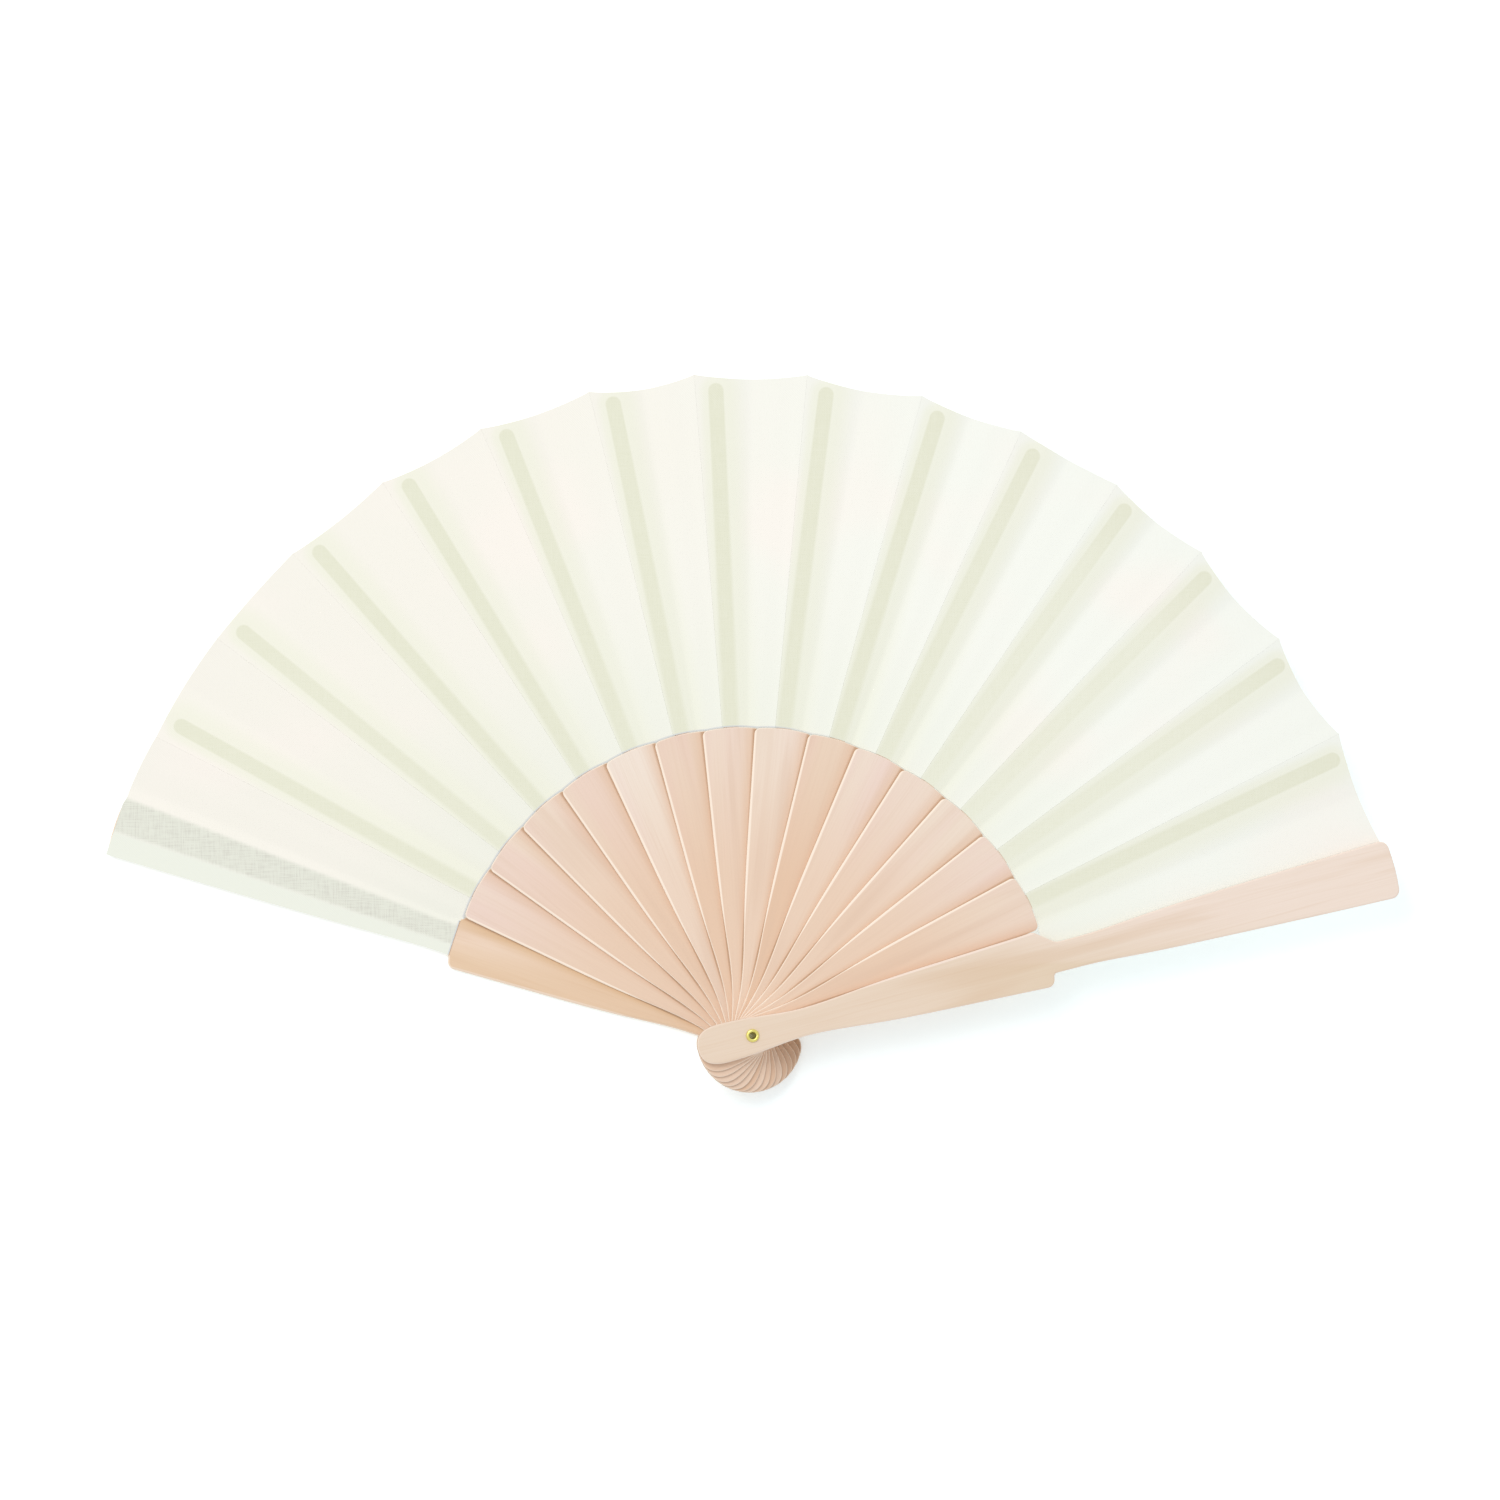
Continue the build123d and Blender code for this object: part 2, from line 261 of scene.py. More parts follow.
def make_stick_wood():
    """
    Birch along +X of its vector, in metres. Tone drifts between a pale and a rosy colour and
    turns deeper towards the rivet; fibres and growth lines darken it a little. A painted
    highlight brightens the left edge and the rounded edges. Beside is the place as the stick on
    top sees it: painted shade darkens the front next to that stick's edge. Below the rivet the
    heads get painted shade by the given share, darker still on their side walls.
    """
    # The last three colours are a painted highlight and two painted shades.
    colours = ("Pale", "Rosy", "Deep", "Line", "Painted highlight", "Painted shade", "Painted dark shade")
    group, entry, leave = new_group(
        "stick_wood",
        [("Vector", "NodeSocketVector"), ("Beside", "NodeSocketVector"),
         ("Normal", "NodeSocketVector"), ("Tone", "NodeSocketFloat"),
         ("Head shade", "NodeSocketFloat"), ("Seed", "NodeSocketFloat"),
         *[(colour, "NodeSocketColor") for colour in colours]],
        [("Color", "NodeSocketColor"), ("Roughness", "NodeSocketFloat"),
         ("Height", "NodeSocketFloat")])
    vector, seed = entry.outputs["Vector"], entry.outputs["Seed"]
    pale, rosy, deep, line, edge, painted_shade, dark_shade = [entry.outputs[colour] for colour in colours]

    def mixed(share, first, second, strength=1.0):
        """The first colour turned towards the second by share times strength."""
        return blend_colours(group, math_node(group, "MULTIPLY", share, strength), first, second)

    def fading(value, low, high):
        """1 below low, 0 above high."""
        return math_node(group, "SUBTRACT", 1.0, smooth_step(group, value, low, high))

    along, past_own = stick_side(group, vector)
    toned = mixed(entry.outputs["Tone"], pale, rosy)
    toned = mixed(fading(along, *DEEP_FADE), toned, deep)
    fibres = stretched_noise(group, vector, (45, 2300, 900), 3, seed)
    toned = mixed(smooth_step(group, fibres, 0.42, 0.75), toned, line, 0.13)
    lines = stretched_noise(group, vector, (7, 420, 300), 1, seed)
    growth = fading(
        math_node(group, "ABSOLUTE", math_node(group, "SUBTRACT", lines, 0.5)), 0.0, 0.03)
    toned = mixed(growth, toned, line, 0.1)
    streaks = stretched_noise(group, vector, (16, 190, 150), 1, seed)
    toned = mixed(smooth_step(group, streaks, 0.5, 0.72), toned, line, 0.3)
    facing = group.nodes.new("ShaderNodeSeparateXYZ")
    group.links.new(entry.outputs["Normal"], facing.inputs[0])
    _, past_next = stick_side(group, entry.outputs["Beside"])
    # Painted shade on the front beside the next stick's edge: a soft band and a dark line at the step.
    shaded_front = math_node(group, "MULTIPLY", smooth_step(group, along, 4 * MM, 30 * MM),
                        smooth_step(group, facing.outputs["Z"], -0.5, -0.1))
    toned = mixed(math_node(group, "MULTIPLY", shaded_front, fading(past_next, 0.0, SHADE_REACH)),
                  toned, painted_shade, 0.6)
    toned = mixed(math_node(group, "MULTIPLY", shaded_front, fading(past_next, 0.0, DARK_SHADE_REACH)),
                  toned, dark_shade)
    upright = math_node(group, "ABSOLUTE", facing.outputs["Z"])
    # Painted shade on the heads below the rivet, by the given share.
    heads = fading(along, *HEAD_FADE)
    toned = mixed(math_node(group, "MULTIPLY", heads, entry.outputs["Head shade"]), toned, dark_shade)
    # Painted highlight on the rounded edges, where the face turns from upright.
    toned = mixed(fading(upright, 0.55, 0.985), toned, edge)
    # Painted shade on the heads' side walls.
    wall_shade = math_node(group, "MULTIPLY", fading(upright, 0.3, 0.75), heads)
    toned = mixed(wall_shade, toned, dark_shade, 0.9)
    # Painted highlight along the left edge.
    edge_highlight = math_node(group, "MULTIPLY", smooth_step(group, past_own, -0.009, -0.004),
                         smooth_step(group, along, 6 * MM, 20 * MM))
    toned = mixed(edge_highlight, toned, edge, 0.85)
    group.links.new(toned, leave.inputs["Color"])
    rough = math_node(group, "MULTIPLY_ADD", fibres, 0.25, 0.45)
    group.links.new(rough, leave.inputs["Roughness"])
    group.links.new(math_node(group, "ADD", fibres, growth), leave.inputs["Height"])
    return group


STICK_WOOD = make_stick_wood()


def turned_place(tree, direction):
    """Object coordinates turned so that +X points along a stick's direction in degrees."""
    where = tree.nodes.new("ShaderNodeTexCoord")
    turn = tree.nodes.new("ShaderNodeMapping")
    turn.inputs["Rotation"].default_value = (0, 0, -math.radians(direction))
    tree.links.new(where.outputs["Object"], turn.inputs["Vector"])
    return turn.outputs["Vector"]


def wood_for(index, colours, head_shade, heart=None):
    """
    Wood material for stick number index, its grain turned to the stick's direction. Tone is
    a soft patchwork, or with heart = (height, slope) it grows along the stick and steps up
    a little past a slanting, wavy line, where the board's growth rings change side.
    """
    made, tree, shader = material(f"birch_{BODIES[index]}")
    own = turned_place(tree, DIRECTIONS[index])
    seed = FIRST_CUT + NEXT_CUT * index
    wood = tree.nodes.new("ShaderNodeGroup")
    wood.node_tree = STICK_WOOD
    tree.links.new(own, wood.inputs["Vector"])
    if index + 1 < len(DIRECTIONS):
        tree.links.new(turned_place(tree, DIRECTIONS[index + 1]), wood.inputs["Beside"])
    else:
        wood.inputs["Beside"].default_value = (0, 1, 0)
    if heart is None:
        seeded = tree.nodes.new("ShaderNodeVectorMath")
        seeded.operation = "ADD"
        tree.links.new(own, seeded.inputs[0])
        seeded.inputs[1].default_value = (seed, 0, 0)
        patches = stretched_noise(tree, seeded.outputs[0], (11, 95, 60), 1.5)
        tree.links.new(smooth_step(tree, patches, 0.34, 0.66), wood.inputs["Tone"])
    else:
        place = tree.nodes.new("ShaderNodeSeparateXYZ")
        tree.links.new(own, place.inputs[0])
        wave = stretched_noise(tree, own, (20, 60, 60), 1)
        level = math_node(tree, "MULTIPLY_ADD", place.outputs["X"], heart[1], place.outputs["Y"])
        level = math_node(tree, "MULTIPLY_ADD", wave, 3.0 * MM, level)
        far_side = smooth_step(tree, level, heart[0], heart[0] + 1.6 * MM)
        outwards = math_node(tree, "MULTIPLY_ADD", place.outputs["Y"], 4.0, place.outputs["X"])
        outwards = smooth_step(tree, outwards, 80 * MM, 165 * MM)
        tone = math_node(tree, "MULTIPLY_ADD", far_side, 0.3, math_node(
            tree, "MULTIPLY", outwards, 0.7))
        tree.links.new(tone, wood.inputs["Tone"])
    where = tree.nodes.new("ShaderNodeTexCoord")
    tree.links.new(where.outputs["Normal"], wood.inputs["Normal"])
    for socket, value in colours.items():
        wood.inputs[socket].default_value = linear(*value)
    wood.inputs["Head shade"].default_value = head_shade
    wood.inputs["Seed"].default_value = seed
    bump = tree.nodes.new("ShaderNodeBump")
    bump.inputs["Strength"].default_value = 0.2
    bump.inputs["Distance"].default_value = 0.04 * MM
    tree.links.new(wood.outputs["Height"], bump.inputs["Height"])
    tree.links.new(bump.outputs["Normal"], shader.inputs["Normal"])
    tree.links.new(wood.outputs["Color"], shader.inputs["Base Color"])
    tree.links.new(wood.outputs["Roughness"], shader.inputs["Roughness"])
    shader.inputs["Specular IOR Level"].default_value = 0.3
    return made


def finish_node(node, made):
    """Puts a material on a CAD node."""
    slots = frame["nodes"][node].data.materials
    slots.clear()
    slots.append(made)


# The last three colours of each wood are a painted highlight and two painted shades.
REAR_WOOD = {
    "Pale": (238, 213, 192), "Rosy": (231, 202, 172), "Deep": (229, 198, 168),
    "Line": (212, 172, 132), "Painted highlight": (240, 217, 196), "Painted shade": (216, 178, 134),
    "Painted dark shade": (188, 152, 122)}
FRONT_WOOD = {
    "Pale": (227, 206, 181), "Rosy": (240, 222, 208), "Deep": (232, 211, 190),
    "Line": (214, 180, 146), "Painted highlight": (244, 225, 211), "Painted shade": (221, 190, 163),
    "Painted dark shade": (205, 172, 143)}
finish_node("rear_guard", wood_for(0, REAR_WOOD, 0.9))
finish_node("front_guard", wood_for(last, FRONT_WOOD, 0.0, heart=(17.6 * MM, 0.19)))

# ---------------------------------------------------------------------------------------------
# The ribs: fourteen thin sticks of the same birch, each with a wide foot and a narrow slip that
# the leaf is glued to. They are the CAD nodes. Some are paler than others, because they are cut
# from different boards: a tone of 1 is the palest board.
# ---------------------------------------------------------------------------------------------
# The last three colours are a painted highlight and two painted shades.
RIB_WOOD = {
    "Pale": (237, 220, 204), "Rosy": (236, 213, 202), "Deep": (233, 206, 184),
    "Line": (216, 184, 160), "Painted highlight": (253, 237, 220), "Painted shade": (222, 186, 158),
    "Painted dark shade": (196, 160, 130)}
BOARD_TONE = [0.55, 0.45, 0.5, 0.35, 0.95, 0.2, 0.5, 0.7, 0.0, 0.7, 0.6, 0.65, 0.6, 0.4]
DARKEST_BOARD = np.array((-4, -11, -17))
PALEST_BOARD = np.array((3, 6, 8))
HEAD_SHADE = 0.9                # painted shade on the heads next to the rear guard
HEAD_SHADE_STEP = 0.13                # and how much less from one rib to the next
for index in range(1, last):
    shift = DARKEST_BOARD + (PALEST_BOARD - DARKEST_BOARD) * BOARD_TONE[index - 1]
    board = dict(RIB_WOOD)
    for kind in ("Pale", "Rosy", "Deep"):
        board[kind] = np.array(RIB_WOOD[kind]) + shift
    finish_node(BODIES[index], wood_for(index, board, max(0.0, HEAD_SHADE - HEAD_SHADE_STEP * index)))

# ---------------------------------------------------------------------------------------------
# The rivet: a hollow brass rivet, its head let into the rear guard and its open end rolled
# outwards over the front guard. It is the CAD node, with the marks of the rolling tool.
# ---------------------------------------------------------------------------------------------
BRASS_BRIGHT = (250, 240, 150)
BRASS_DULL = (232, 216, 112)
brass, brass_tree, brass_shader = material("rolled_brass")
where = brass_tree.nodes.new("ShaderNodeTexCoord")
blotches = stretched_noise(brass_tree, where.outputs["Object"], (900, 900, 500), 3)
brass_colour = blend_colours(
    brass_tree, smooth_step(brass_tree, blotches, 0.35, 0.7),
    linear(*BRASS_BRIGHT), linear(*BRASS_DULL))
brass_tree.links.new(brass_colour, brass_shader.inputs["Base Color"])
brass_tree.links.new(
    math_node(brass_tree, "MULTIPLY_ADD", blotches, 0.25, 0.18), brass_shader.inputs["Roughness"])
brass_shader.inputs["Metallic"].default_value = 1.0
rolling = brass_tree.nodes.new("ShaderNodeBump")
rolling.inputs["Strength"].default_value = 0.3
rolling.inputs["Distance"].default_value = 0.05 * MM
brass_tree.links.new(blotches, rolling.inputs["Height"])
brass_tree.links.new(rolling.outputs["Normal"], brass_shader.inputs["Normal"])
finish_node("rivet", brass)

# ---------------------------------------------------------------------------------------------
# The leaf: one pleated sheet of thin white cotton, glued to the front of each rib's slip, to
# the front of the rear guard's blade and to the back of the front guard's blade. It is made
# here in strips, one from each raised fold to the next, because each strip folds over with
# the two sticks it joins.
# ---------------------------------------------------------------------------------------------
CLOTH = 0.2 * MM                # thickness
RIDGE_REACH = 212.1 * MM        # from the rivet to the outer edge, at the raised folds
# How far the outer edge dips in each strip, in mm: cloth that is pulled less tight dips more.
REACH_DIP = [-0.6, 0.0, 0.4, 1.9, 2.4, 2.4, 2.8, 2.2, 2.6, 2.0, 1.3, 2.2, 2.9, 3.1, 2.6]
DIP_SHAPE = 0.8                 # power of the dip's sine: under 1 makes it broad
END_REACH = 213.1 * MM          # outer edge on the rear guard's blade, where it is cut square
# Angles past the rear guard's line between which the edge turns from the arc to that cut.
END_CUT = (math.radians(-2.7), math.radians(-1.9))
RIDGE_SIDE = (2.8 * MM, 5.2 * MM)       # raised fold from the stick's line, inner and outer end
RIDGE_RISE = 0.4 * MM           # raised fold above the slip, at the outer edge
VALLEY_DROP = 1.2 * MM          # lowered fold below the slip, at the outer edge
FOLD_SOFTNESS = 1.5 * MM        # how far the cloth takes to turn over a raised fold
SHORTEST_RAMP = 0.4 * MM        # least width that the cloth takes to leave a slip or blade
STEP_SHARES = (0.22, 0.5, 0.28)     # a free panel's climb: before, across and after the slip below
LATEST_CLIMB = 0.95             # share of its width by which the last of these begins
SLIP_HALF = 2.45 * MM           # half-width of a slip
SLIP_ROOT = 97.9 * MM           # where the slips start and end, from the rivet
SLIP_TIP = 208.9 * MM
SLIP_CANT = 0.8                 # degrees clockwise from the rib's own line
SHOULDER_END = 98.8 * MM        # where the sticks' wide feet end, on their middle lines
SHOULDER_CORNER = 97.9 * MM     # where their corners are
SHOULDER_ROUND = 48 * MM        # radius of that end, as seen from above
SHOULDER_GAP = 0.2 * MM         # from there to the cloth
RIB_SHOULDER = math.radians(5.4)        # how far a rib's wide end reaches to each side
GUARD_SHOULDER = math.radians(3.5)      # and a guard's
HEM_OVERHANG = 0.2 * MM         # of the cloth beyond the rear guard's blade
# A guard's blade: places along it, and its half-width there, from the slant and the neck to the tip.
BLADE_PLACES = np.array([95.7, 100.9, 108, 129, 147, 170, 194, 212.6]) * MM
BLADE_HALVES = np.array([9.0, 4.8, 4.4, 5.65, 6.8, 7.8, 8.75, 9.45]) * MM
NECK = 2                        # which of those places is the neck
# The rear guard's trimmed hem: distances from the rivet, and how far it lies from the middle line.
HEM_PLACES = np.array([108, 128.9, 146.7, 169.7, 193.8, 212.6]) * MM
HEM_ASIDE = np.array([5.2, 6.3, 7.15, 8.05, 8.9, 9.45]) * MM
FLAP_TURN = math.radians(2.2)   # how far the end flap reaches past the front guard's line
FLAP_SLANT = 1.5 * MM           # how much shorter its far corner is
BAND_START = 105 * MM           # from here the glued band on the rear guard widens with the blade
COLUMNS = 26                    # grid cells across each of a strip's two panels
ROWS = 110                      # grid cells from the inner edge to the outer edge
SOFTENING_PASSES = 3
# How firmly each rib's slip is glued: 1 shows fully through the cloth, less shows fainter.
GLUE_HOLD = [0.9, 0.85, 1.0, 1.0, 0.95, 0.95, 1.0, 0.95, 0.95, 0.8, 0.6, 0.55, 0.6, 0.85]
FULL_HOLD_FROM = 0.75           # the outer quarter of every slip turns to a full hold
directions = np.radians(DIRECTIONS)


def ridge_lead(radius):
    """Angle of the raised fold ahead of its stick: its sideways distance over the radius."""
    share = (radius - SHOULDER_END) / (RIDGE_REACH - SHOULDER_END)
    side = RIDGE_SIDE[0] + (RIDGE_SIDE[1] - RIDGE_SIDE[0]) * share
    return np.arcsin(side / radius)


def inner_reach(angle, index):
    """
    The leaf starts just beyond the shoulders of the two sticks it joins: a rib's is an arc
    bulging outwards, and a guard's blade is thinned for the cloth from a square line on.
    """
    reach = np.full_like(angle, SHOULDER_CORNER)
    for stick in (index, index + 1):
        off = angle - directions[min(stick, last)]
        centre = SHOULDER_END - SHOULDER_ROUND
        bulge = centre * np.cos(off) + np.sqrt(SHOULDER_ROUND ** 2 - (centre * np.sin(off)) ** 2)
        square = SHOULDER_END / np.cos(off)
        guard = stick in (0, last)
        near = np.abs(off) < (GUARD_SHOULDER if guard else RIB_SHOULDER)
        outline = square if guard else bulge
        reach = np.maximum(reach, np.where(near, outline, SHOULDER_CORNER))
    return reach + SHOULDER_GAP


def hem_lead(radius):
    """Angle of the trimmed hem ahead of the rear guard: its sideways distance over the radius."""
    aside = np.interp(radius, HEM_PLACES, HEM_ASIDE)
    return np.arcsin((aside + HEM_OVERHANG) / radius)


def blade_half(along):
    """Half-width of a guard's blade at a distance along it: straight lines between its places."""
    return np.interp(along, BLADE_PLACES, BLADE_HALVES)


def soft_ramp(share, softness=0.1):
    """0 before 0, rising to 1 at 1, with a rounded start: (t + sqrt(t^2 + s^2)) / 2, scaled."""
    rise = (share + np.sqrt(share ** 2 + softness ** 2)) / 2
    return rise / ((1 + math.sqrt(1 + softness ** 2)) / 2)


def panel_level(index):
    """Height of the cloth's middle where it is glued to stick number index: its panel's middle."""
    low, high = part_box(f"leaf_panel_{index:02d}")
    return (low[2] + high[2]) / 2


def pleat_size(radius):
    """Fold heights shrink towards the rivet, as the panels get narrower."""
    return radius / RIDGE_REACH


def along_and_aside(radius, angle, index):
    """Polar place to (distance along, distance to the left of) the slip or guard of a stick."""
    lean = directions[index] if index in (0, last) else directions[index] - math.radians(SLIP_CANT)
    root = 0.0 if index in (0, last) else SLIP_ROOT
    x = radius * np.cos(angle) - root * np.cos(directions[index])
    y = radius * np.sin(angle) - root * np.sin(directions[index])
    along = x * math.cos(lean) + y * math.sin(lean)
    aside = y * math.cos(lean) - x * math.sin(lean)
    return along, aside


def rounded_fold(height, top, distance):
    """Levels the cloth as it comes up to a raised fold: its drop is times d / sqrt(d^2 + s^2)."""
    distance = np.maximum(distance, 0)
    return top + (height - top) * distance / np.sqrt(distance ** 2 + FOLD_SOFTNESS ** 2)


def glued_panel_height(radius, angle, index, valley_angle):
    """
    Level over the slip or blade, up by a soft ramp to the raised fold on the left, and down
    by another to the lowered fold on the right.
    """
    along, aside = along_and_aside(radius, angle, index)
    _, ridge_aside = along_and_aside(radius, directions[index] + ridge_lead(radius), index)
    _, valley_aside = along_and_aside(radius, valley_angle, index)
    flat = blade_half(along) if index == 0 else SLIP_HALF
    left = soft_ramp((aside - flat) / np.maximum(ridge_aside - flat, SHORTEST_RAMP))
    right = soft_ramp((-aside - flat) / np.maximum(-valley_aside - flat, SHORTEST_RAMP))
    rise = 0.0 if index == 0 else RIDGE_RISE
    size = pleat_size(radius)
    top = panel_level(index) + rise * size
    height = top - rise * size * (1 - left) - VALLEY_DROP * size * right
    return rounded_fold(height, top, ridge_aside - aside) if index else height


def free_panel_height(radius, share, index, start_level):
    """
    From the lowered fold (share 0) to the next raised fold (share 1) in three even slopes:
    up to the level of the slip below, gently across its width, and up to the fold.
    """
    end_rise = 0.0 if index + 1 == last else RIDGE_RISE * pleat_size(radius)
    level, step = panel_level(index), panel_level(index + 1) - panel_level(index)
    width = radius * math.radians(GAPS[index]) / 2
    _, ridge_aside = along_and_aside(radius, directions[1] + ridge_lead(radius), 1)
    far = 1 - (ridge_aside + SLIP_HALF) / width
    near = np.minimum(1 - (ridge_aside - SLIP_HALF) / width, LATEST_CLIMB)
    to_slip, over_slip, to_fold = STEP_SHARES
    first = level + to_slip * step - start_level
    middle = over_slip * step
    end = to_fold * step + end_rise
    height = (start_level + first * np.clip(share / far, 0, 1)
              + middle * np.clip((share - far) / (near - far), 0, 1)
              + end * np.clip((share - near) / (1 - near), 0, 1))
    top = start_level + first + middle + end
    return rounded_fold(height, top, (1 - share) * width)


def soften_across(height, passes):
    """Rounds kinks between columns: each inner column becomes (left + 2 own + right) / 4."""
    height = height.copy()
    for _ in range(passes):
        height[:, 1:-1] = (height[:, :-2] + 2 * height[:, 1:-1] + height[:, 2:]) / 4
    return height


def grid_mesh(name, places, maps):
    """Mesh of a grid of points (rows, columns, 3), UV maps of the same shape, and sharp rims."""
    rows, columns = places.shape[:2]
    corner = np.arange((rows - 1) * columns).reshape(rows - 1, columns)[:, :-1].ravel()
    faces = np.stack([corner, corner + columns, corner + columns + 1, corner + 1], axis=1)
    mesh = bpy.data.meshes.new(name)
    mesh.from_pydata(places.reshape(-1, 3), [], faces)
    loops = np.empty(len(mesh.loops), np.int32)
    mesh.loops.foreach_get("vertex_index", loops)
    for map_name, values in maps.items():
        layer = mesh.uv_layers.new(name=map_name)
        layer.data.foreach_set("uv", values.reshape(-1, 2)[loops].astype(np.float32).ravel())
    mesh.polygons.foreach_set("use_smooth", np.ones(len(mesh.polygons), bool))
    ends = np.empty(len(mesh.edges) * 2, np.int32)
    mesh.edges.foreach_get("vertices", ends)
    row, column = np.divmod(ends.reshape(-1, 2), columns)
    rim = np.zeros(len(mesh.edges), bool)
    for line, far in ((row, rows - 1), (column, columns - 1)):
        rim |= (line == 0).all(axis=1) | (line == far).all(axis=1)
    sharp = mesh.attributes.new("sharp_edge", "BOOLEAN", "EDGE")
    sharp.data.foreach_set("value", rim)
    mesh.update()
    return mesh


def outer_reach(angle, index, start, end):
    """
    Outline from one raised fold to the next: peaked at the folds, rounded in between.
    On the rear guard it follows the straight end of the blade, squared to it.
    """
    share = np.clip((start - angle) / (start - end), 0, 1)
    reach = RIDGE_REACH - REACH_DIP[index] * MM * np.sin(np.pi * share) ** DIP_SHAPE
    if index == 0:
        square = END_REACH / np.cos(angle - directions[0])
        over = (angle - directions[0] - END_CUT[0]) / (END_CUT[1] - END_CUT[0])
        over = np.clip(over, 0, 1)
        reach = reach + (square - reach) * over * over * (3 - 2 * over)
    return reach


def leaf_strip(index):
    """
    Strip number index, from the raised fold at one stick to the one at the next. Columns run
    from fold to fold and rows outwards; each row is an arc about the rivet.
    """
    across = np.linspace(0, 1, COLUMNS + 1)[None, :]
    outward = np.linspace(0, 1, ROWS + 1)[:, None]
    mid_radius = SHOULDER_END + (RIDGE_REACH - SHOULDER_END) * outward
    lead = ridge_lead(mid_radius)
    ridge = directions[index] + lead
    start = directions[0] + hem_lead(mid_radius) if index == 0 else ridge
    next_ridge = directions[index + 1] + lead
    valley = (ridge + next_ridge) / 2
    angle = np.concatenate(
        [start + (valley - start) * across, valley + (next_ridge - valley) * across[:, 1:]], axis=1)
    edge_lead = ridge_lead(RIDGE_REACH)
    reach = outer_reach(
        angle[-1:], index, directions[index] + edge_lead, directions[index + 1] + edge_lead)
    inner = inner_reach(angle[:1], index)
    radius = inner + (reach - inner) * outward
    glued = glued_panel_height(radius[:, :COLUMNS + 1], angle[:, :COLUMNS + 1], index, valley)
    free = free_panel_height(radius[:, COLUMNS:], across, index, glued[:, -1:])
    height = soften_across(np.concatenate([glued, free[:, 1:]], axis=1), SOFTENING_PASSES)
    places = np.stack([radius * np.cos(angle), radius * np.sin(angle), height], axis=2)
    along, aside = along_and_aside(radius, angle, index)
    turn = np.concatenate([np.zeros(COLUMNS), across.ravel()])
    turn = np.broadcast_to(turn, angle.shape)
    hold = GLUE_HOLD[index - 1]     # the rear guard's cloth doesn't use it
    full_hold = np.clip((outward - FULL_HOLD_FROM) / (1 - FULL_HOLD_FROM), 0, 1)
    hold = hold + (1 - hold) * full_hold + np.zeros_like(angle)
    plans = {"leaf_plan": places[..., :2], "stick_plan": np.stack([along, aside], axis=2),
             "trim_plan": np.stack([radius - inner, hold], axis=2)}
    return places, plans, turn


def end_flap():
    """The leaf's right end, glued flat under the front guard's blade."""
    across = np.linspace(0, 1, COLUMNS + 1)[None, :]
    outward = np.linspace(0, 1, ROWS + 1)[:, None]
    mid_radius = SHOULDER_END + (RIDGE_REACH - SHOULDER_END) * outward
    start = directions[last] + ridge_lead(mid_radius)
    angle = start + (directions[last] - FLAP_TURN - start) * across
    inner = inner_reach(angle[:1], last)
    radius = inner + (RIDGE_REACH - FLAP_SLANT * across - inner) * outward
    height = np.full(angle.shape, panel_level(last))
    places = np.stack([radius * np.cos(angle), radius * np.sin(angle), height], axis=2)
    along, aside = along_and_aside(radius, angle, last)
    plans = {"leaf_plan": places[..., :2], "stick_plan": np.stack([along, aside], axis=2),
             "trim_plan": np.stack([radius - inner, np.ones_like(angle)], axis=2)}
    return places, plans


def thicken(piece):
    """Gives a cloth surface its thickness, half on each side."""
    wall = piece.modifiers.new("cloth_thickness", "SOLIDIFY")
    wall.thickness = CLOTH
    wall.offset = 0.0


def make_plain_weave():
    """
    Fine plain weave over a plan in metres. Height is cos(x) cos(y) of the thread count, so
    over and under alternate; Slub is a streaky share from uneven threads both ways.
    """
    group, entry, leave = new_group(
        "plain_weave", [("Plan", "NodeSocketVector"), ("Pitch", "NodeSocketFloat")],
        [("Height", "NodeSocketFloat"), ("Slub", "NodeSocketFloat")])
    parts = group.nodes.new("ShaderNodeSeparateXYZ")
    group.links.new(entry.outputs["Plan"], parts.inputs[0])
    waves = []
    for axis in ("X", "Y"):
        turns = math_node(group, "DIVIDE", parts.outputs[axis], entry.outputs["Pitch"])
        waves.append(math_node(group, "COSINE", math_node(group, "MULTIPLY", turns, math.pi)))
    group.links.new(math_node(group, "MULTIPLY", *waves), leave.inputs["Height"])
    warp = stretched_noise(group, entry.outputs["Plan"], (2600, 160, 1), 2)
    weft = stretched_noise(group, entry.outputs["Plan"], (160, 2600, 1), 2)
    both_ways = math_node(group, "ADD", warp, weft)
    group.links.new(math_node(group, "MULTIPLY", both_ways, 0.5), leave.inputs["Slub"])
    return group


PLAIN_WEAVE = make_plain_weave()
THREAD_PITCH = 0.38 * MM
COTTON_WARM = (244, 240, 230)   # left side of the leaf
COTTON_COOL = (243, 244, 236)   # right side
COTTON_BLUSH = (249, 241, 233)  # in large soft patches
COTTON_SLUB = (233, 233, 221)   # thicker threads
SHOW_THROUGH = (227, 227, 205)  # where the wood behind shows through the glued cloth
SLIP_HALO = (238, 238, 220)     # faint yellow-grey halo beside each slip
NEAR_STICKS = (234, 237, 223)   # the cloth is greyer where it narrows down to the sticks
GUARD_BAND = (228, 229, 216)    # over the glued half of the rear guard's blade
BAND_SLUB = (203, 200, 190)     # threads there, darkened by glue
GUARD_STRIP = (236, 238, 226)   # over its other half, clear of the glue
TRIM_SHADOW = (206, 209, 214)     # painted shadow along the cut inner edge, where it stands off the sticks
SLIP_BLUR = (1.1 * MM, 0.3 * MM)        # softness of the slip's outline, at its root and its tip
HALO_LEFT = 4.0 * MM            # width of the halo on each side of a slip
HALO_RIGHT = 8.5 * MM


def uv(tree, name):
    """Output of the piece's UV map of that name."""
    node = tree.nodes.new("ShaderNodeUVMap")
    node.uv_map = name
    return node.outputs["UV"]


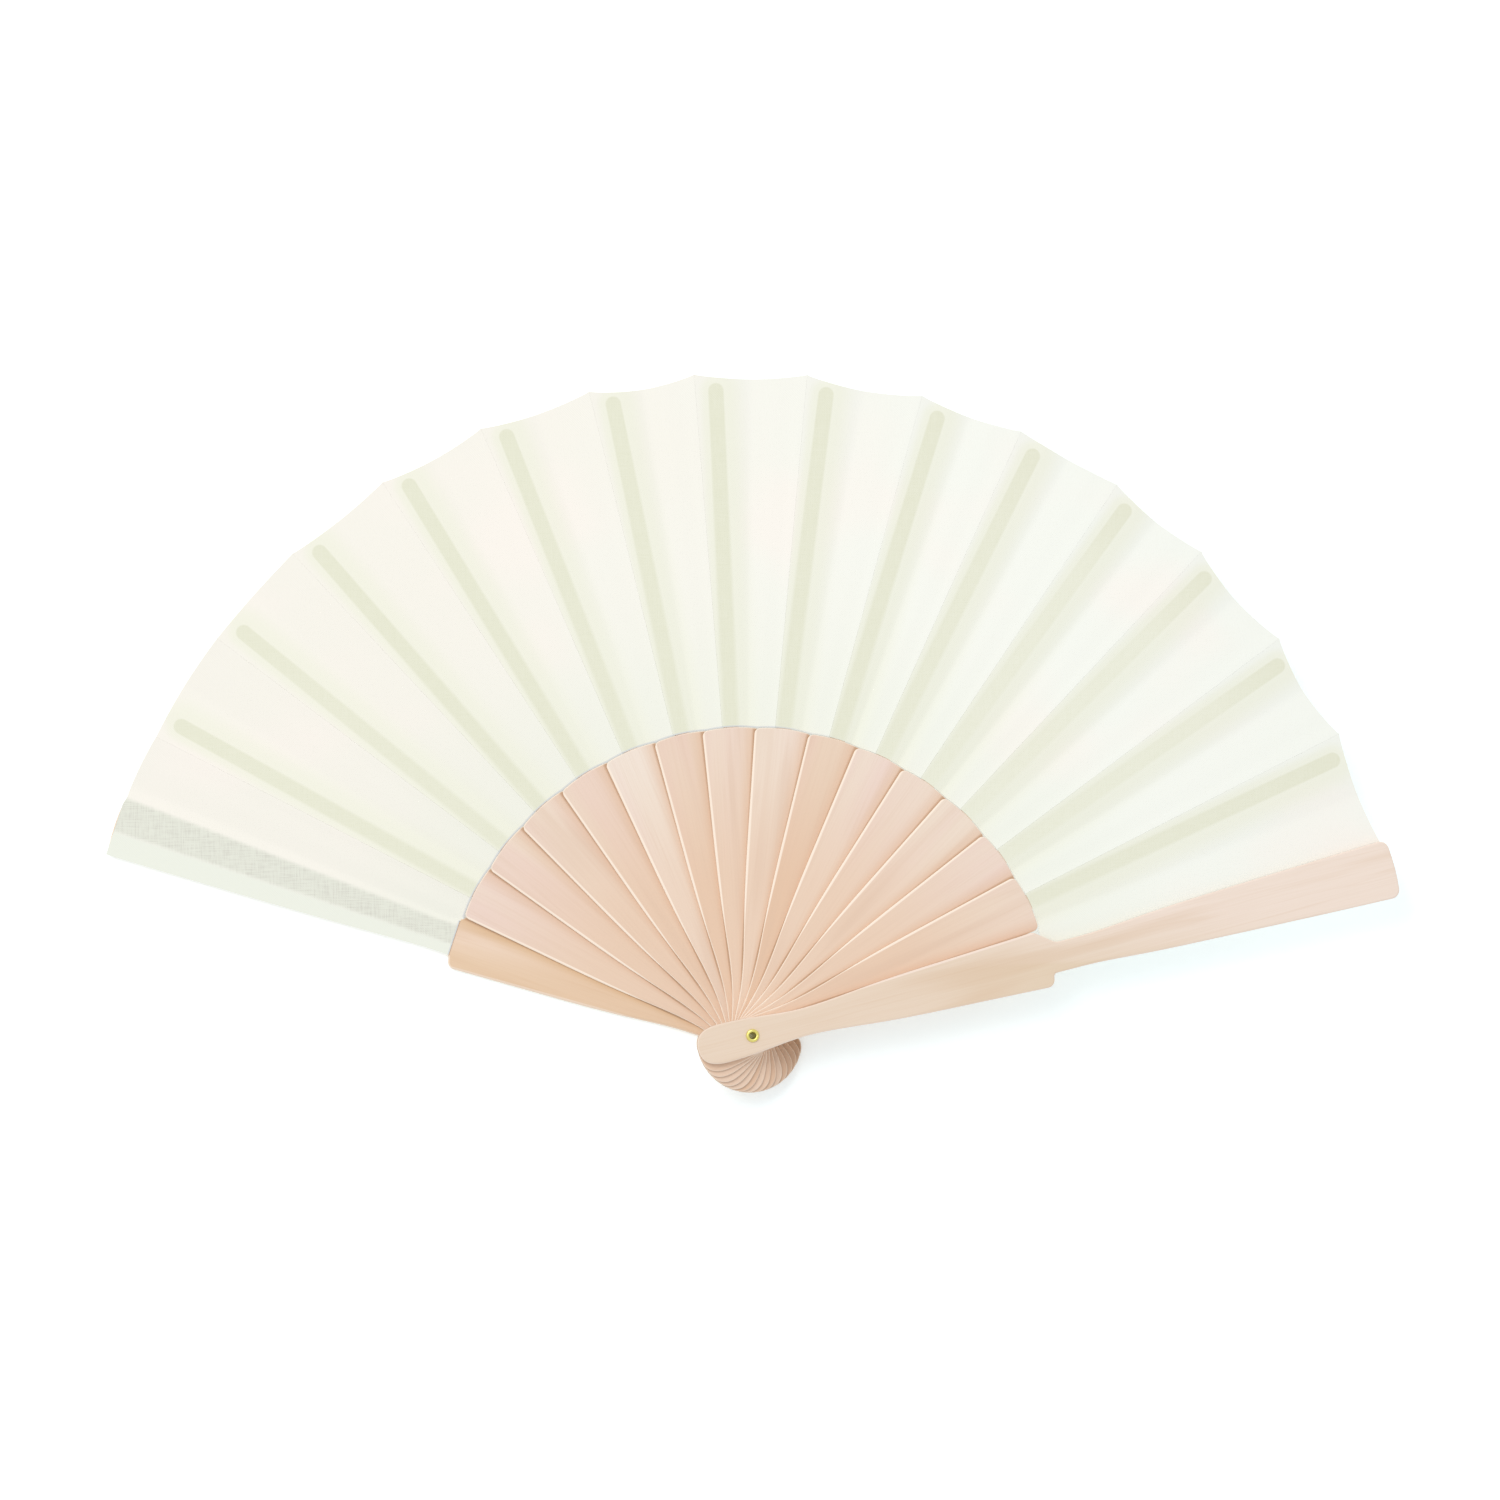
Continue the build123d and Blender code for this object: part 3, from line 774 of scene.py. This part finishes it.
def slip_reach(tree):
    """Distance along the slip, to the left of it, and from its middle line or tip's centre."""
    parts = tree.nodes.new("ShaderNodeSeparateXYZ")
    tree.links.new(uv(tree, "stick_plan"), parts.inputs[0])
    past_tip = math_node(tree, "MAXIMUM", math_node(
        tree, "SUBTRACT", parts.outputs["X"], SLIP_TIP - SLIP_ROOT - SLIP_HALF), 0.0)
    reach = math_node(tree, "SQRT", math_node(tree, "ADD", math_node(
        tree, "POWER", past_tip, 2.0), math_node(tree, "POWER", parts.outputs["Y"], 2.0)))
    return parts.outputs["X"], parts.outputs["Y"], reach


def slip_masks(tree):
    """
    Over the slip: crisp at its round tip, softer towards the sticks. The halo round it is
    twice as wide on the right, where the cloth turns down.
    """
    along, across, reach = slip_reach(tree)
    soft = tree.nodes.new("ShaderNodeMapRange")
    for name, value in (("From Min", 0.0), ("From Max", SLIP_TIP - SLIP_ROOT),
                        ("To Min", SLIP_BLUR[0]), ("To Max", SLIP_BLUR[1])):
        soft.inputs[name].default_value = value
    tree.links.new(along, soft.inputs["Value"])
    softness = soft.outputs["Result"]
    near = math_node(tree, "SUBTRACT", SLIP_HALF, softness)
    far = math_node(tree, "ADD", SLIP_HALF, softness)
    over = math_node(tree, "SUBTRACT", 1.0, smooth_step(tree, reach, near, far))
    left = smooth_step(tree, across, -2 * MM, 2 * MM)
    spread = math_node(tree, "MULTIPLY_ADD", left, HALO_LEFT - HALO_RIGHT, HALO_RIGHT)
    beyond = math_node(tree, "DIVIDE", math_node(tree, "SUBTRACT", reach, SLIP_HALF), spread)
    halo = math_node(tree, "SUBTRACT", 1.0, smooth_step(tree, beyond, 0.15, 1.0))
    return over, halo


def band_masks(tree):
    """On the rear guard: the glued band from its leaf side to past the middle, and the strip."""
    parts = tree.nodes.new("ShaderNodeSeparateXYZ")
    tree.links.new(uv(tree, "stick_plan"), parts.inputs[0])
    flare = tree.nodes.new("ShaderNodeMapRange")
    for name, value in (("From Min", BAND_START), ("From Max", BLADE_PLACES[-1]),
                        ("To Min", BLADE_HALVES[NECK]), ("To Max", BLADE_HALVES[-1])):
        flare.inputs[name].default_value = value
    tree.links.new(parts.outputs["X"], flare.inputs["Value"])
    inner = math_node(tree, "ADD", parts.outputs["Y"], flare.outputs["Result"])
    on_blade = smooth_step(tree, inner, -0.9 * MM, 1.0 * MM)
    outer = smooth_step(tree, parts.outputs["Y"], 0.9 * MM, 2.7 * MM)
    band = math_node(tree, "MULTIPLY", on_blade, math_node(tree, "SUBTRACT", 1.0, outer))
    return band, outer


def cotton_for(name, kind):
    """Cloth material: kind is rib, rear or end, for what the cloth is glued to."""
    made, tree, shader = material(name)
    plan = uv(tree, "leaf_plan")
    weave = tree.nodes.new("ShaderNodeGroup")
    weave.node_tree = PLAIN_WEAVE
    tree.links.new(plan, weave.inputs["Plan"])
    weave.inputs["Pitch"].default_value = THREAD_PITCH
    patches = stretched_noise(tree, plan, (14, 14, 1), 2)
    parts = tree.nodes.new("ShaderNodeSeparateXYZ")
    tree.links.new(plan, parts.inputs[0])
    sideways = math_node(tree, "MULTIPLY_ADD", patches, 160 * MM, parts.outputs["X"])
    cool = smooth_step(tree, sideways, -50 * MM, 210 * MM)
    colour = blend_colours(tree, cool, linear(*COTTON_WARM), linear(*COTTON_COOL))
    blush = stretched_noise(tree, plan, (19, 27, 1), 1)
    blush = math_node(tree, "MULTIPLY", smooth_step(tree, blush, 0.5, 0.72), 0.6)
    colour = blend_colours(tree, blush, colour, linear(*COTTON_BLUSH))
    slubs = smooth_step(tree, weave.outputs["Slub"], 0.5, 0.72)
    colour = blend_colours(tree, math_node(tree, "MULTIPLY", slubs, 0.22), colour, linear(*COTTON_SLUB))
    trim = tree.nodes.new("ShaderNodeSeparateXYZ")
    tree.links.new(uv(tree, "trim_plan"), trim.inputs[0])
    narrow = math_node(
        tree, "SUBTRACT", 1.0, smooth_step(tree, trim.outputs["X"], 0.0, 55 * MM))
    colour = blend_colours(
        tree, math_node(tree, "MULTIPLY", narrow, 0.45), colour, linear(*NEAR_STICKS))
    if kind == "rib":
        over, halo = slip_masks(tree)
        colour = blend_colours(tree, math_node(tree, "MULTIPLY", halo, 0.7), colour, linear(*SLIP_HALO))
        uneven = math_node(tree, "MULTIPLY", smooth_step(tree, weave.outputs["Slub"], 0.35, 0.65), 0.25)
        share = math_node(tree, "MULTIPLY", over, math_node(
            tree, "SUBTRACT", trim.outputs["Y"], uneven))
        colour = blend_colours(tree, share, colour, linear(*SHOW_THROUGH))
    if kind == "rear":
        band, strip = band_masks(tree)
        colour = blend_colours(tree, band, colour, linear(*GUARD_BAND))
        colour = blend_colours(tree, strip, colour, linear(*GUARD_STRIP))
        streaks = smooth_step(tree, weave.outputs["Slub"], 0.42, 0.66)
        streaks = math_node(tree, "MULTIPLY", streaks, math_node(tree, "MULTIPLY", band, 0.6))
        colour = blend_colours(tree, streaks, colour, linear(*BAND_SLUB))
    # Painted shadow along the cut inner edge, on the leaf's left part.
    edge_shadow = math_node(
        tree, "SUBTRACT", 1.0, smooth_step(tree, trim.outputs["X"], 0.2 * MM, 0.6 * MM))
    left_part = math_node(
        tree, "SUBTRACT", 1.0, smooth_step(tree, parts.outputs["X"], 0.0, 40 * MM))
    colour = blend_colours(
        tree, math_node(tree, "MULTIPLY", edge_shadow, math_node(tree, "MULTIPLY", left_part, 0.75)),
        colour, linear(*TRIM_SHADOW))
    tree.links.new(colour, shader.inputs["Base Color"])
    tree.links.new(
        math_node(tree, "MULTIPLY_ADD", weave.outputs["Slub"], 0.1, 0.82), shader.inputs["Roughness"])
    relief = tree.nodes.new("ShaderNodeBump")
    relief.inputs["Strength"].default_value = 0.35
    relief.inputs["Distance"].default_value = 0.04 * MM
    tree.links.new(
        math_node(tree, "ADD", weave.outputs["Height"], weave.outputs["Slub"]), relief.inputs["Height"])
    tree.links.new(relief.outputs["Normal"], shader.inputs["Normal"])
    shader.inputs["Specular IOR Level"].default_value = 0.15
    shader.inputs["Sheen Weight"].default_value = 0.08
    return made


rib_cotton = cotton_for("cotton_over_ribs", "rib")
rear_cotton = cotton_for("cotton_over_rear_guard", "rear")
end_cotton = cotton_for("cotton_under_front_guard", "end")


def add_piece(name, places, plans, made):
    """Cloth piece whose UV maps are plans in metres: the leaf's, its stick's and its trim's."""
    mesh = grid_mesh(name, places, plans)
    mesh.materials.append(made)
    piece = bpy.data.objects.new(name, mesh)
    scene.collection.objects.link(piece)
    thicken(piece)
    return piece


for index in range(last):
    places, plans, turn = leaf_strip(index)
    strip = add_piece(
        f"leaf_strip_{index:02d}", places, plans, rear_cotton if index == 0 else rib_cotton)
    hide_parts(f"leaf_panel_{index:02d}", f"leaf_fold_{index:02d}")
    middle_row = places[ROWS // 2]
    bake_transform(strip, BODIES[index], BODIES[index + 1],
             start=middle_row[COLUMNS].tolist(), end=middle_row[-1].tolist())
    # These shares replace them: the fold turns about the rivet, so a point's share goes by its
    # angle.
    share = strip.data.attributes["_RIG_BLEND"]
    share.data.foreach_set("value", turn.astype(np.float32).ravel())

flap_places, flap_plans = end_flap()
flap = add_piece("leaf_end_flap", flap_places, flap_plans, end_cotton)
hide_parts(f"leaf_panel_{last:02d}")
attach(flap, BODIES[last])
